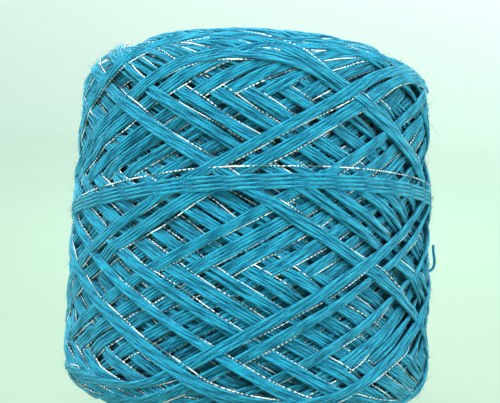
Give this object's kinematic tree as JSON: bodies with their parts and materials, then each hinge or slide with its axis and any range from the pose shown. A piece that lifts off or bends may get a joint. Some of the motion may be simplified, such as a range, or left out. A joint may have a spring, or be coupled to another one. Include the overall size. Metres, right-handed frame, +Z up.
{
  "type": "cross-wound yarn package",
  "caption": "Cross-wound package of fuzzy turquoise strands and a silver metallic thread on a tapered paper cone, with a closing turn, hanging free ends and an open cone bore for a creel peg.",
  "frame": {"origin": "centre of the paper cone's base rim, on the surface that it stands on", "axes": "+Z up along the cone's axis to its nose (the narrow end), -Y the front, +X to the right seen from the front; the free ends hang at the right"},
  "size_m": [0.154, 0.149, 0.17],
  "materials": {
    "kraft_paper": "matte",
    "cover_paper": "satin",
    "packed_yarn": "matte",
    "crossing_yarn": "matte",
    "yarn_strand": "matte",
    "metallic_thread": "polished"
  },
  "bodies": {
    "cone": {"cone_body": "kraft_paper", "cone_cover": "cover_paper", "reserve_strand_1": "yarn_strand", "reserve_strand_2": "yarn_strand", "reserve_strand_3": "yarn_strand", "reserve_strand_4": "yarn_strand", "reserve_metallic": "metallic_thread"},
    "winding": {"winding_inner": "packed_yarn", "winding_outer": "crossing_yarn", "closing_strand_1": "yarn_strand", "closing_strand_2": "yarn_strand", "closing_strand_3": "yarn_strand", "closing_strand_4": "yarn_strand", "closing_metallic": "metallic_thread", "tail_strand_1": "yarn_strand", "tail_strand_2": "yarn_strand", "tail_strand_3": "yarn_strand", "tail_strand_4": "yarn_strand", "tail_metallic": "metallic_thread"}
  },
  "joints": [
    {"name": "winding_slide", "type": "slide", "parent": "cone", "child": "winding", "axis": [0, 0, 1], "range_m": [0, 0.155]}
  ]
}
